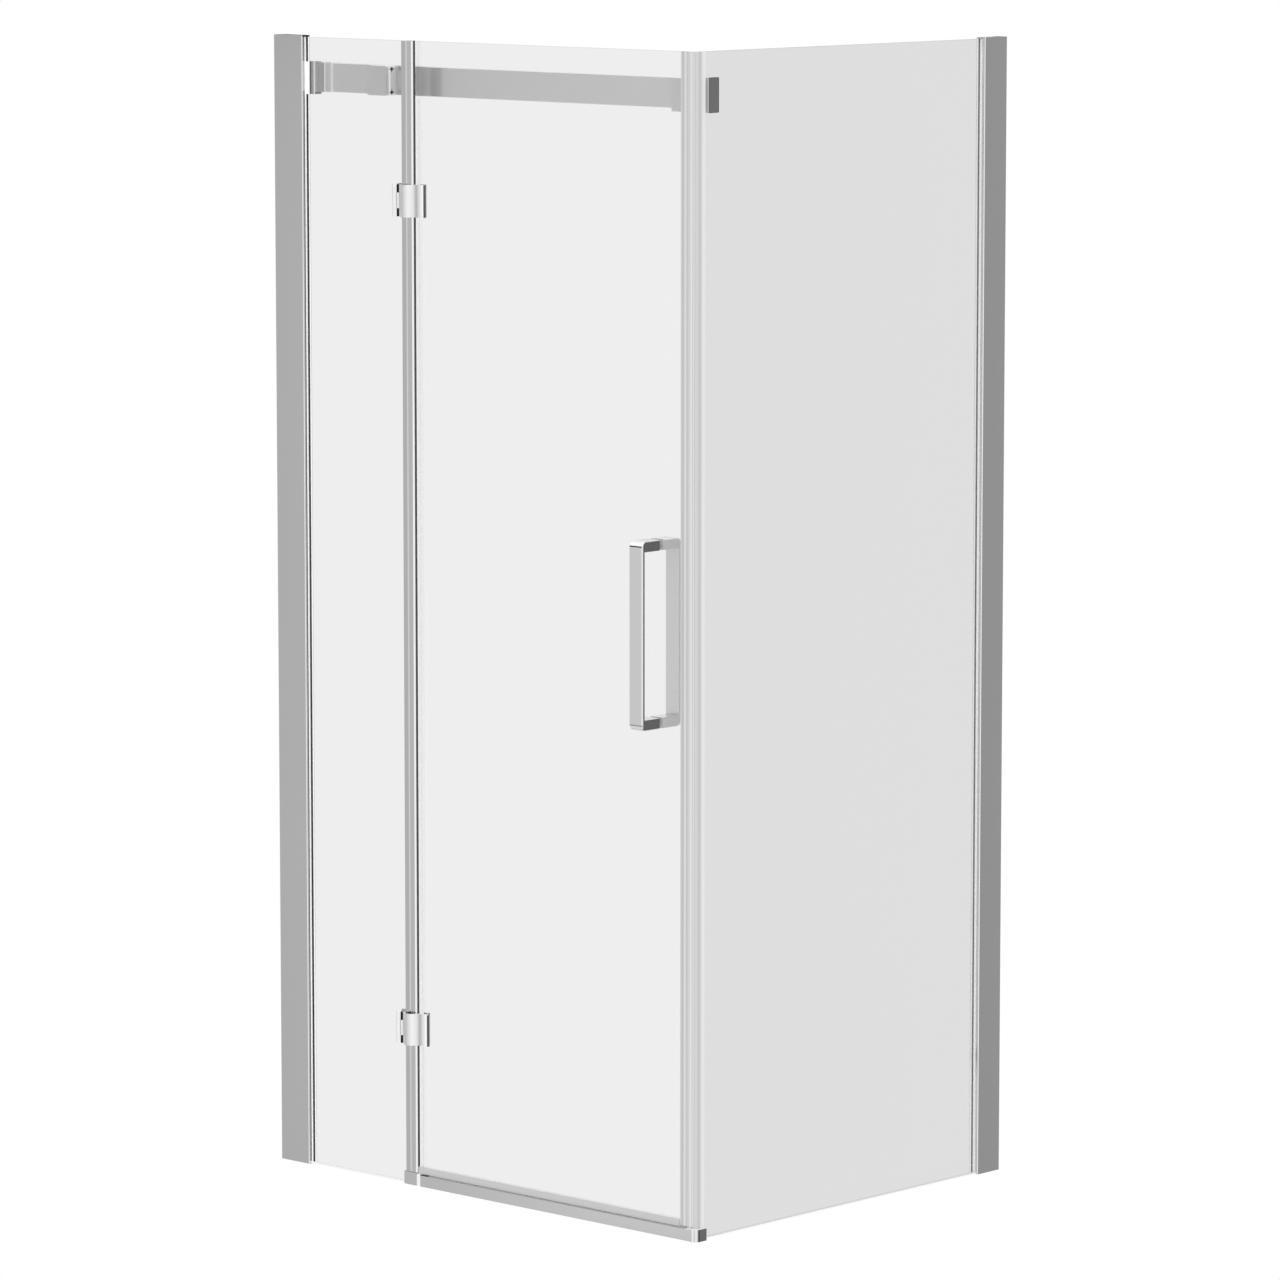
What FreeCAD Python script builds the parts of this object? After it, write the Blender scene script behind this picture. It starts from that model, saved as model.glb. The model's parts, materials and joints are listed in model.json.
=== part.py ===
import FreeCAD, Part
import math
import os

# Corner shower enclosure in millimetres: a fixed pane and a hinged door across the front,
# a fixed pane on the right-hand side, a hinge post, a low sill and a flat bar inside.
# Working frame: X runs from the left wall to the side pane, Y from the front pane's outer
# face to the back wall, Z up from the tray. The finished solids are moved so that the
# origin is the centre of the footprint, on the tray.

V = FreeCAD.Vector

# Overall sizes
corner_x = 992.0            # left wall to the side pane's outer face
corner_y = 792.0            # front pane's outer face to the back wall
total_height = 2000.0       # tray to the top of the wall channels
glass_thickness = 8.0
glass_bottom = 2.0          # fixed panes stand on a thin strip
arris = 0.8                 # ground edge of every pane
overrun = 1.0               # how far a cutting body passes the face that it cuts
parallel_limit = 1e-6       # two directions closer than this are parallel
same_place = 0.01           # two points closer than this are one

# Wall channels and the glass channels that slide in them
frame_reveal = 6.0          # how far the outer channel stands proud of the glass
inner_reveal = 3.5          # the same for the glass channel
front_channel_width = 69.3
side_channel_width = 58.4
channel_bevel = 1.0         # along the mouth's outer edges
glass_channel_reach = 1.0   # how far the glass channel comes out of the wall channel
channel_wall = 1.6
channel_web = 2.0
channel_lip = 3.0
channel_slip = 0.3
glass_channel_wall = 2.8
glass_channel_depth = 34.0
glass_bite = 15.0
gasket_web = 2.0
gasket_recess = 0.6
cap_thickness = 2.5         # black cap on a glass channel, level with the wall channel
cap_plug_depth = 9.0
cap_plug_slip = 0.3

# Screw holes through the backs of the wall channels
wall_hole_radius = 3.25
wall_hole_end = 100.0       # first and last hole to the ends of the channel
wall_hole_count = 4

# Screws that lock the glass channel in the wall channel, driven from inside the shower
lock_screw_radius = 1.9
lock_screw_head_radius = 3.6
lock_screw_head_height = 1.8
lock_screw_hole_slack = 0.1
lock_screw_from_mouth = 24.0
lock_screw_end = 150.0
lock_screw_count = 3

# Hinge post
post_left = 311.5
post_width = 28.0
post_bite = 10.0
post_wall = 2.5
post_body_width = 16.0      # behind the front flange, which reaches further
post_left_bevel = 2.0
post_right_bevel = 2.4
post_groove_place = 13.5    # post's left face to the groove's middle
post_groove_width = 3.0
post_groove_depth = 1.0

# Sill under the door, with its end pieces
sill_height = 20.8
sill_inside = 21.0          # inner edge, from the front pane's outer face
sill_wall = 1.8
sill_nose = 0.6             # small bevel along the top front edge
sill_stop_width = 3.0
sill_stop_height = 4.0
sill_stop_end_gap = 6.0     # stop's end to the sill cap
block_height = 23.5         # tray to the underside of the post
block_shadow_gap = 0.7      # rim of the block to the post
block_core_inset = 1.4
block_left_reach = 4.2      # beyond the post's left face
block_right_reach = 7.9     # beyond the post's right face, to the sill
block_corner_reach = 4.4    # slanted face where the block meets the sill
block_corner_start = 0.5    # from the post's right face
block_bevel = 1.0
sill_cap_from_corner = 6.0  # cap's inner end to the side pane's outer face
sill_cap_length = 15.4
sill_cap_height = 22.2
sill_cap_bevel = 1.2
sill_cap_corner = 10.0      # rounded outer corner of the enclosure
sill_cap_back_corner = 2.0
sill_cap_lip = 0.6
slot_slack = 0.4

# Door pane and its seals
door_gap = 2.5              # post to the door pane
door_glass_bottom = 26.0
seal_wall = 1.2
seal_lip = 10.0
door_edge = 22.0            # corner to the door pane's free edge
side_edge = 13.0            # corner to the side pane's front edge
seal_gap = 0.5              # between the two magnetic seals
door_seal_lift = 1.5        # door's magnetic seal above the sill cap
magnet_width = 7.0
magnet_thickness = 3.0
magnet_slack = 0.1
magnet_end = 6.0
bottom_seal_low = 22.0
bottom_seal_top = 34.0
bottom_seal_front = 3.0     # drip nose in front of the door
bottom_seal_web = 1.4
bottom_seal_reach = 2.0     # past the pane's edge, towards the post
bottom_fin_width = 1.0
bottom_fin_reach = 4.0
bottom_fin_gap = 0.6
seal_end_gap = 0.3
hinge_seal_lip = 7.0

# Hinges
pin_from_post = 2.5         # pin's axis to the post's left face
pin_stand = 2.8             # pin's axis in front of the post's front face
pin_radius = 2.25
pin_running = 0.05
hinge_height = 56.0
upper_hinge_drop = 276.0    # top of the wall channels to the upper hinge's middle
lower_hinge_z = 279.0
barrel_radius = 4.7
barrel_height = 26.8
bush_radius = 3.8           # black bush, open to the front
bush_gap = 0.3
bush_end = 0.5
cup_radius = 4.8
cup_front = 2.0             # cup's front edge in front of the pin's axis
cup_root_start = 3.2        # pin to the cup's root
leaf_plate = 6.0
leaf_pad = 1.0              # clear pad between metal and glass
fixed_leaf_gap = 6.4        # pin's axis to the fixed leaf's plate
fixed_leaf_width = 12.2
leaf_corner = 1.0
cover_start = 6.5           # pin to the cover's edge
cover_edge_rise = 4.6
cover_bevel_width = 3.5
cover_crest_x = 20.2        # pin to the crest
cover_crest_rise = 14.5     # crest above the face that passes the post
cover_left_radius = 11.4
cover_right_radius = 13.5
cover_valley_radius = 12.5
cover_skin = 2.2
post_clearance = 1.0        # cover to the post's front face
wing_rise = 1.0             # wing's front in front of the cover's seat
wing_start = 35.0
wing_end = 57.7
door_plate_width = 11.0     # plate inside, hidden behind the wing
liner_recess = 3.0
clamp_plate = 4.0
hinge_screw_spacing = 32.0
hinge_screw_radius = 2.5
hinge_screw_head_radius = 4.5
hinge_screw_head_height = 2.2
hinge_screw_depth = 3.5     # how far the tip enters the outer leaf
hinge_hole_radius = 3.75
screw_slack = 0.1
socket_radius = 1.7
socket_depth = 1.8

# Handle pair
handle_from_corner = 94.0
handle_z = 1024.0
handle_width = 30.0
handle_bar = 6.0
handle_reach = 44.4         # glass face to the front of the grip
handle_arm = 18.0
handle_spacing = 301.0
handle_corner = 10.0
handle_bevel = 1.3
handle_pad = 1.0
handle_pad_inset = 1.0
handle_stud_radius = 4.0
handle_stud_depth = 14.0
handle_hole_radius = 6.5

# Stabiliser bar inside, with its three holders
bar_gap = 24.0              # front pane's inner face to the bar
bar_depth = 12.0
bar_height = 51.0
bar_drop = 47.5             # top of the wall channels to the top of the bar
bar_bevel = 1.0
bar_start = 14.0
bar_end_gap = 39.0          # side pane's inner face to the bar's end
bar_slack = 0.2
wall_bracket_gap = 0.5      # wall channel to the bracket
bracket_skin = 6.6
wall_base_length = 78.5     # foot of the bracket, taller than the bar
wall_base_rise = 1.8
wall_base_drop = 4.0
wall_base_bevel = 2.0
wall_floor_length = 60.0    # ledge that the bar's end rests on
wall_body_length = 89.0
wall_body_setback = 2.0     # body's front behind the base's front
wall_collar_length = 107.3  # collar round the bar, bevelled at its end
wall_collar_skin = 2.0
wall_collar_fillet = 3.0
bracket_bevel = 1.2
clamp_from_post = 95.5
clamp_width = 46.0
clamp_drop = 0.5
clamp_pad_thickness = 1.0
clamp_corner = 3.0
clamp_screw_spacing = 24.0
clamp_screw_radius = 2.4
clamp_screw_head_radius = 4.6
clamp_screw_head_height = 2.4
clamp_screw_length = 24.0
corner_bracket_reach = 69.5 # side pane's inner face to the bracket's far end
corner_bracket_drop = 5.4
corner_pad = 1.0
corner_plate_thickness = 5.0
corner_plate_height = 58.5
corner_plate_corner = 2.0
corner_stud_radius = 4.0
corner_stud_in_bracket = 14.0
corner_stud_in_plate = 3.0
corner_hole_radius = 7.0
set_screw_radius = 2.5
set_screw_slack = 0.1
set_screw_inset = 12.0      # bracket mouth to the screw that locks the bar

# Sizes that follow from the ones above
inner_face = glass_thickness
glass_top = total_height - cap_thickness
post_right = post_left + post_width
post_glass_edge = post_left + post_bite
post_body_right = post_left + post_body_width
block_left = post_left - block_left_reach
block_right = post_right + block_right_reach
pin_x = post_left - pin_from_post
pin_y = -frame_reveal - pin_stand
upper_hinge_z = total_height - upper_hinge_drop
hinge_heights = [lower_hinge_z, upper_hinge_z]
fixed_leaf_left = pin_x - fixed_leaf_gap - fixed_leaf_width
handle_x = corner_x - handle_from_corner
pad_room = inner_reveal - glass_channel_wall
seat_face = -frame_reveal - post_clearance
wing_face = seat_face - wing_rise
wing_left = pin_x + wing_start
wing_right = pin_x + wing_end
door_screw_x = wing_left + door_plate_width / 2
fixed_screw_x = fixed_leaf_left + fixed_leaf_width / 2
bar_top = total_height - bar_drop
bar_bottom = bar_top - bar_height
bar_front = inner_face + bar_gap
bar_back = bar_front + bar_depth
bracket_back = bar_back + bracket_skin
corner_bracket_front = bar_front - bracket_skin
side_inner_face = corner_x - glass_thickness
corner_bracket_start = side_inner_face - corner_bracket_reach
bar_end = side_inner_face - bar_end_gap
wall_bracket_front = inner_face + frame_reveal + wall_bracket_gap
clamp_left = post_left - clamp_from_post
door_left = post_right + door_gap
door_right = corner_x - door_edge
sill_cap_start = corner_x - sill_cap_from_corner
cap_end = sill_cap_start + sill_cap_length
origin_x = cap_end / 2.0
origin_y = (corner_y - handle_reach) / 2.0


def front(a, b, z):
    # a from the left wall, b inwards from the front pane's outer face
    return V(a, b, z)


def side(a, b, z):
    # a from the back wall, b inwards from the side pane's outer face
    return V(corner_x - b, corner_y - a, z)


def front_corner(a, b, z):
    # a from the outer corner along the front, b inwards
    return V(corner_x - a, b, z)


def side_corner(a, b, z):
    # a from the outer corner along the side, b inwards
    return V(corner_x - b, a, z)


def prism(place, corners, low, high):
    points = [place(a, b, low) for a, b in corners]
    face = Part.Face(Part.makePolygon(points + points[:1]))
    return face.extrude(V(0, 0, high - low))


def block(place, a_low, a_high, b_low, b_high, low, high):
    corners = [(a_low, b_low), (a_high, b_low), (a_high, b_high), (a_low, b_high)]
    return prism(place, corners, low, high)


def rod(start, end, radius):
    axis = end - start
    return Part.makeCylinder(radius, axis.Length, start, axis)


def edges_along(shape, direction):
    found = []
    for edge in shape.Edges:
        if isinstance(edge.Curve, Part.Line):
            if edge.Curve.Direction.cross(direction).Length < parallel_limit:
                found.append(edge)
    return found


def glass_pane(place, a_low, a_high, low, high, holes, hole_radius):
    pane = block(place, a_low, a_high, 0, glass_thickness, low, high)
    pane = pane.makeChamfer(arris, pane.Edges)
    for a, z in holes:
        pane = pane.cut(rod(place(a, -overrun, z), place(a, inner_face + overrun, z), hole_radius))
    return pane


def socket_head(start, direction, head_radius, shank_radius, head_height, length):
    # Countersunk screw: flat head at start, shank along direction, hexagon socket
    head = Part.makeCone(head_radius, shank_radius, head_height, start, direction)
    shank = Part.makeCylinder(shank_radius, length, start, direction)
    screw = head.fuse(shank)
    sideways = V(0, 0, 1)
    across = direction.cross(sideways)
    points = []
    for turn in range(6):
        angle = math.pi * turn / 3
        offset = sideways * (socket_radius * math.cos(angle))
        points.append(start + offset + across * (socket_radius * math.sin(angle)))
    pocket = Part.Face(Part.makePolygon(points + points[:1])).extrude(direction * socket_depth)
    return screw.cut(pocket)


def screw_seat(start, direction, head_radius, shank_radius, head_height, length):
    # The hole that such a screw needs, with its slack
    head = Part.makeCone(head_radius + screw_slack, shank_radius + screw_slack, head_height,
                         start, direction)
    return head.fuse(Part.makeCylinder(shank_radius + screw_slack, length, start, direction))


saved_names = []


def save(name, solids):
    moved = []
    for solid in solids:
        piece = solid.copy()
        piece.translate(V(-origin_x, -origin_y, 0))
        moved.append(piece)
    shape = Part.makeCompound(moved) if len(moved) > 1 else moved[0]
    for piece in moved:
        if not piece.isValid() or piece.Volume <= 0:
            raise ValueError("bad solid in " + name)
    saved_names.append(name)
    shape.exportStep("parts/" + name + ".step")


# Wall channel: a box section open towards the glass, with two guide lips at its mouth
def wall_channel(place, width):
    near = -frame_reveal
    far = inner_face + frame_reveal
    near_lip = -inner_reveal - channel_slip
    far_lip = inner_face + inner_reveal + channel_slip
    lip_start = width - channel_lip
    corners = [(0, near), (width - channel_bevel, near), (width, near + channel_bevel),
               (width, near_lip), (lip_start, near_lip),
               (lip_start, near + channel_wall), (channel_web, near + channel_wall),
               (channel_web, far - channel_wall), (lip_start, far - channel_wall),
               (lip_start, far_lip), (width, far_lip),
               (width, far - channel_bevel), (width - channel_bevel, far), (0, far)]
    channel = prism(place, corners, 0, total_height)
    middle = glass_thickness / 2
    for z in spaced_heights(wall_hole_end, wall_hole_count):
        channel = channel.cut(rod(place(-overrun, middle, z),
                                  place(channel_web + overrun, middle, z), wall_hole_radius))
    for z in spaced_heights(lock_screw_end, lock_screw_count):
        a = width - lock_screw_from_mouth
        channel = channel.cut(rod(place(a, far + overrun, z),
                                  place(a, far - channel_wall - overrun, z),
                                  lock_screw_radius + lock_screw_hole_slack))
    return channel


def spaced_heights(end, count):
    # Evenly spaced up the channel, the first and last at the same distance from its ends
    step = (total_height - 2 * end) / (count - 1)
    return [end + step * index for index in range(count)]


# Glass channel: slides in the wall channel and holds the pane in a rubber gasket
def glass_channel(place, width):
    near = -inner_reveal
    far = inner_face + inner_reveal
    mouth = width + glass_channel_reach
    start = mouth - glass_channel_depth
    corners = [(start, near), (mouth, near), (mouth, near + glass_channel_wall),
               (start + glass_channel_wall, near + glass_channel_wall),
               (start + glass_channel_wall, far - glass_channel_wall),
               (mouth, far - glass_channel_wall), (mouth, far), (start, far)]
    channel = prism(place, corners, 0, glass_top)
    for z in spaced_heights(lock_screw_end, lock_screw_count):
        a = width - lock_screw_from_mouth
        channel = channel.cut(rod(place(a, far + overrun, z),
                                  place(a, far - glass_channel_wall - overrun, z),
                                  lock_screw_radius + lock_screw_hole_slack))
    return channel


def channel_gasket(place, width):
    edge = width + glass_channel_reach - glass_bite
    mouth = width + glass_channel_reach - gasket_recess
    near = -pad_room
    far = inner_face + pad_room
    corners = [(edge - gasket_web, near), (mouth, near), (mouth, 0), (edge, 0),
               (edge, inner_face), (mouth, inner_face), (mouth, far), (edge - gasket_web, far)]
    return prism(place, corners, glass_bottom, glass_top)


def channel_cap(place, width):
    mouth = width + glass_channel_reach
    start = mouth - glass_channel_depth
    top = block(place, start, mouth, -inner_reveal, inner_face + inner_reveal,
                glass_top, total_height)
    inset = glass_channel_wall + cap_plug_slip
    plug = block(place, start + inset, mouth - glass_bite - gasket_web - cap_plug_slip,
                 -inner_reveal + inset, inner_face + inner_reveal - inset,
                 glass_top - cap_plug_depth, glass_top)
    return top.fuse(plug).removeSplitter()


def lock_screws(place, width):
    screws = []
    outer = inner_face + frame_reveal
    tip = inner_face + inner_reveal - glass_channel_wall
    a = width - lock_screw_from_mouth
    for z in spaced_heights(lock_screw_end, lock_screw_count):
        shank = rod(place(a, outer, z), place(a, tip, z), lock_screw_radius)
        head = rod(place(a, outer + lock_screw_head_height, z), place(a, outer, z),
                   lock_screw_head_radius)
        screws.append(head.fuse(shank).removeSplitter())
    return screws


def build_wall_side(prefix, place, width):
    save(prefix + "_wall_channel", [wall_channel(place, width)])
    save(prefix + "_glass_channel", [glass_channel(place, width)])
    save(prefix + "_glass_gasket", [channel_gasket(place, width)])
    save(prefix + "_channel_cap", [channel_cap(place, width)])
    save(prefix + "_channel_screws", lock_screws(place, width))


# Fixed panes, and the thin strips that they stand on
def hinge_holes(a):
    holes = []
    for middle in hinge_heights:
        for sign in (-1, 1):
            holes.append((a, middle + sign * hinge_screw_spacing / 2))
    return holes


def build_fixed_glass():
    front_mouth = front_channel_width + glass_channel_reach
    side_mouth = side_channel_width + glass_channel_reach
    save("fixed_glass", [glass_pane(front, front_mouth - glass_bite, post_glass_edge, glass_bottom,
                                    glass_top, hinge_holes(fixed_screw_x), hinge_hole_radius)])
    save("fixed_bottom_strip", [block(front, front_mouth, block_left, 0, glass_thickness,
                                      0, glass_bottom)])
    side_end = corner_y - side_edge
    bracket_a = corner_y - (corner_bracket_front + bracket_back) / 2
    bracket_z = bar_bottom + bar_height / 2
    save("side_glass", [glass_pane(side, side_mouth - glass_bite, side_end, glass_bottom, glass_top,
                                   [(bracket_a, bracket_z)], corner_hole_radius)])
    save("side_bottom_strip", [block(side, side_mouth, side_end, 0, glass_thickness,
                                     0, glass_bottom)])


# Hinge post: grips the fixed pane's edge, with a grooved front face and bevelled corners
def hinge_post():
    near = -frame_reveal
    far = inner_face + frame_reveal
    slot_near = -pad_room
    slot_far = inner_face + pad_room
    slot_end = post_glass_edge + gasket_web
    middle = post_left + post_groove_place
    groove = post_groove_width / 2
    corners = [(post_left, near + post_left_bevel), (post_left + post_left_bevel, near),
               (middle - groove, near), (middle, near + post_groove_depth), (middle + groove, near),
               (post_right - post_right_bevel, near), (post_right, near + post_right_bevel),
               (post_right, 0), (post_right - post_wall, 0),
               (post_right - post_wall, near + post_wall), (post_body_right, near + post_wall),
               (post_body_right, far), (post_left, far), (post_left, slot_far),
               (slot_end, slot_far), (slot_end, slot_near), (post_left, slot_near)]
    return prism(front, corners, block_height, glass_top)


def post_gasket():
    near = -pad_room
    far = inner_face + pad_room
    mouth = post_left + gasket_recess
    end = post_glass_edge + gasket_web
    corners = [(mouth, near), (end, near), (end, far), (mouth, far), (mouth, inner_face),
               (post_glass_edge, inner_face), (post_glass_edge, 0), (mouth, 0)]
    return prism(front, corners, block_height, glass_top)


# Sill: a low hollow section with a rounded nose and a water stop behind the door
def sill_profile():
    near = -frame_reveal
    section = [(near, 0), (near, sill_height - sill_nose), (near + sill_nose, sill_height),
               (sill_inside, sill_height), (sill_inside, 0)]
    room = [(near + sill_wall, sill_wall), (near + sill_wall, sill_height - sill_nose - sill_wall),
            (near + sill_nose + sill_wall, sill_height - sill_wall),
            (sill_inside - sill_wall, sill_height - sill_wall),
            (sill_inside - sill_wall, sill_wall)]
    length = sill_cap_start - block_right
    bodies = []
    for corners in (section, room):
        points = [V(block_right, y, z) for y, z in corners]
        bodies.append(Part.Face(Part.makePolygon(points + points[:1])).extrude(V(length, 0, 0)))
    stop = block(front, block_right, sill_cap_start - sill_stop_end_gap,
                 sill_inside - sill_stop_width, sill_inside,
                 sill_height - sill_wall, sill_height + sill_stop_height)
    return bodies[0].fuse(stop).cut(bodies[1]).cut(side_glass_slot()).removeSplitter()


def side_glass_slot():
    # Room for the side pane's lower corner in the sill and in its cap
    return block(side_corner, side_edge - slot_slack, sill_inside + overrun, -slot_slack,
                 glass_thickness + slot_slack, -overrun, sill_height + sill_stop_height + overrun)


def sill_left_block():
    # Stands under the post, and its lower end runs on to the sill behind a slanted corner
    near = -frame_reveal
    far = inner_face + frame_reveal
    rim = block_height - block_shadow_gap
    corner = post_right - block_corner_start
    recess = near + block_corner_reach
    body = block(front, block_left, corner, near, sill_inside, 0, rim)
    upright = [edge for edge in edges_along(body, V(0, 0, 1))
               if edge.BoundBox.YMax < 0 and edge.BoundBox.XMax < corner]
    body = body.makeChamfer(block_bevel, upright)
    end = prism(front, [(corner, near), (corner + block_corner_reach, recess), (block_right, recess),
                        (block_right, sill_inside), (corner, sill_inside)], 0, sill_height)
    core = block(front, post_left + block_core_inset, post_body_right - block_core_inset,
                 near + block_core_inset, far - block_core_inset, rim, block_height)
    slot = block(front, block_left - overrun, post_glass_edge + slot_slack, -slot_slack,
                 glass_thickness + slot_slack, 0, block_height + overrun)
    return body.fuse([end, core]).cut(slot).removeSplitter()


def sill_right_cap():
    near = -frame_reveal - sill_cap_lip
    body = block(front, sill_cap_start, cap_end, near, sill_inside + sill_cap_lip, 0, sill_cap_height)
    outer = [edge for edge in edges_along(body, V(0, 0, 1)) if edge.BoundBox.XMin > sill_cap_start]
    body = body.makeFillet(sill_cap_corner, [edge for edge in outer if edge.BoundBox.YMax < 0])
    outer = [edge for edge in edges_along(body, V(0, 0, 1))
             if edge.BoundBox.XMin > sill_cap_start and edge.BoundBox.YMin > sill_inside]
    body = body.makeFillet(sill_cap_back_corner, outer)
    rim = [edge for edge in body.Edges
           if edge.BoundBox.ZMin > 0 and edge.BoundBox.XMax > sill_cap_start + sill_cap_lip]
    body = body.makeFillet(sill_cap_bevel, rim)
    return body.cut(side_glass_slot())


# Magnetic seals: both meet on the diagonal of the corner, each with a magnet strip inside
def seal_corners(edge):
    outside = -seal_wall
    inside = inner_face + seal_wall
    lip_end = edge + seal_lip
    return [(lip_end, outside), (outside + seal_gap, outside), (inside + seal_gap, inside),
            (lip_end, inside), (lip_end, inner_face), (edge, inner_face), (edge, 0), (lip_end, 0)]


def magnet_corners(slack):
    # A strip that lies parallel to the diagonal, centred in the seal's thickness
    depth = seal_wall + magnet_thickness / 2
    half_width = (magnet_width / 2 + slack) * math.sqrt(0.5)
    half_depth = (magnet_thickness / 2 + slack) * math.sqrt(0.5)
    v = glass_thickness / 2
    u = v + seal_gap + depth * math.sqrt(2)
    return [(u + half_width + half_depth, v + half_width - half_depth),
            (u + half_width - half_depth, v + half_width + half_depth),
            (u - half_width - half_depth, v - half_width + half_depth),
            (u - half_width + half_depth, v - half_width - half_depth)]


def magnetic_seal(place, edge, low):
    seal = prism(place, seal_corners(edge), low, glass_top)
    return seal.cut(prism(place, magnet_corners(magnet_slack), low + magnet_end,
                          glass_top - magnet_end))


def magnet_strip(place, low):
    return prism(place, magnet_corners(0), low + magnet_end, glass_top - magnet_end)


# Door pane with its seals
def build_door_glass():
    pane = glass_pane(front, door_left, door_right, door_glass_bottom, glass_top,
                      hinge_holes(door_screw_x), hinge_hole_radius)
    for z in handle_arm_heights():
        pane = pane.cut(rod(V(handle_x, -overrun, z), V(handle_x, inner_face + overrun, z),
                            handle_hole_radius))
    save("door_glass", [pane])


def door_bottom_seal():
    outside = -bottom_seal_front
    inside = inner_face + seal_wall
    web_low = door_glass_bottom - bottom_seal_web
    fin_tip = sill_height + bottom_fin_gap
    middle = glass_thickness / 2
    section = [(outside, bottom_seal_low), (0, bottom_seal_low), (0, web_low),
               (middle, web_low), (middle + bottom_fin_reach, fin_tip),
               (middle + bottom_fin_reach + bottom_fin_width, fin_tip),
               (middle + bottom_fin_width, web_low), (inside, web_low), (inside, bottom_seal_top),
               (inner_face, bottom_seal_top), (inner_face, door_glass_bottom),
               (0, door_glass_bottom), (0, bottom_seal_top), (outside, bottom_seal_top)]
    left = door_left - bottom_seal_reach
    length = door_right - seal_lip - seal_end_gap - left
    points = [V(left, y, z) for y, z in section]
    return Part.Face(Part.makePolygon(points + points[:1])).extrude(V(length, 0, 0))


def door_hinge_seals():
    # Three lengths, because the hinges interrupt them
    outside = -seal_wall
    inside = inner_face + seal_wall
    lip_end = door_left + hinge_seal_lip
    edge = door_left - seal_wall
    fin_tip = post_right + seal_end_gap
    corners = [(lip_end, outside), (edge, outside), (edge, inner_face - seal_wall),
               (fin_tip, inner_face), (fin_tip, inside), (lip_end, inside), (lip_end, inner_face),
               (door_left, inner_face), (door_left, 0), (lip_end, 0)]
    limits = [bottom_seal_top + seal_end_gap]
    for middle in hinge_heights:
        limits.append(middle - hinge_height / 2 - seal_end_gap)
        limits.append(middle + hinge_height / 2 + seal_end_gap)
    limits.append(glass_top)
    return [prism(front, corners, low, high) for low, high in zip(limits[0::2], limits[1::2])]


# Hinge: a barrel on the fixed leaf, two black bushes in open cups and a hollow cover that
# bridges the post
def hinge_screw_heights(middle):
    return [middle - hinge_screw_spacing / 2, middle + hinge_screw_spacing / 2]


def fixed_leaf(middle):
    low = middle - hinge_height / 2
    high = middle + hinge_height / 2
    right = fixed_leaf_left + fixed_leaf_width
    plate = block(front, fixed_leaf_left, right, -leaf_pad - leaf_plate, -leaf_pad, low, high)
    plate = plate.makeFillet(leaf_corner, [e for e in plate.Edges if e.BoundBox.YMax < -leaf_plate])
    barrel_low = middle - barrel_height / 2
    barrel_high = middle + barrel_height / 2
    web = block(front, right - leaf_plate, pin_x, pin_y, -leaf_pad - leaf_plate / 2,
                barrel_low, barrel_high)
    barrel = rod(V(pin_x, pin_y, barrel_low), V(pin_x, pin_y, barrel_high), barrel_radius)
    leaf = plate.fuse(web).fuse(barrel)
    leaf = leaf.cut(rod(V(pin_x, pin_y, barrel_low - overrun), V(pin_x, pin_y, barrel_high + overrun),
                        pin_radius + pin_running))
    return screw_sockets(leaf, fixed_screw_x, middle).removeSplitter()


def screw_sockets(leaf, a, middle):
    # Blind holes in a leaf's back, for the screws that come through the glass
    for z in hinge_screw_heights(middle):
        leaf = leaf.cut(rod(V(a, 0, z), V(a, -leaf_pad - hinge_screw_depth - screw_slack, z),
                            hinge_screw_radius + screw_slack))
    return leaf


def ring_point(middle, radius, angle):
    return V(middle.x + radius * math.cos(angle), middle.y + radius * math.sin(angle), 0)


def ring_arc(middle, radius, start_angle, end_angle):
    half_way = (start_angle + end_angle) / 2
    return Part.Arc(ring_point(middle, radius, start_angle), ring_point(middle, radius, half_way),
                    ring_point(middle, radius, end_angle)).toShape()


def cover_arcs(skin):
    # Left and right flank of the cover, and the angle at which the right one meets the valley
    crest_x = pin_x + cover_crest_x
    crest_y = seat_face - cover_crest_rise
    left_middle = V(crest_x, crest_y + cover_left_radius, 0)
    right_middle = V(crest_x, crest_y + cover_right_radius, 0)
    valley_y = wing_face - cover_valley_radius
    span = cover_right_radius + cover_valley_radius
    run = math.sqrt(span * span - (right_middle.y - valley_y) ** 2)
    valley_middle = V(crest_x + run, valley_y, 0)
    turn = math.atan2(valley_y - right_middle.y, run)
    shoulder_x = pin_x + cover_start + cover_bevel_width + skin
    left_radius = cover_left_radius - skin
    shoulder = -math.pi + math.asin(math.sqrt(left_radius ** 2 - (crest_x - shoulder_x) ** 2)
                                    / left_radius)
    left = ring_arc(left_middle, left_radius, shoulder, -math.pi / 2)
    right = ring_arc(right_middle, cover_right_radius - skin, -math.pi / 2, turn)
    return left, right, valley_middle, turn


def closed_face(start, edges, corners):
    # A face bounded by arcs and by straight lines back to where they start
    points = [edges[-1].Vertexes[-1].Point] + corners + [start, edges[0].Vertexes[0].Point]
    lines = [Part.LineSegment(a, b).toShape() for a, b in zip(points[:-1], points[1:])]
    return Part.Face(Part.Wire(edges + lines))


def cover_room(low, high):
    # The hollow of the cover, open towards the post and at both ends
    left, right = cover_arcs(cover_skin)[:2]
    start = V(pin_x + cover_start + cover_skin, seat_face, 0)
    edge = V(start.x, seat_face - cover_edge_rise, 0)
    end = V(right.Vertexes[-1].Point.x, seat_face, 0)
    face = closed_face(edge, [left, right], [end, start])
    face.translate(V(0, 0, low))
    return face.extrude(V(0, 0, high - low))


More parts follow.
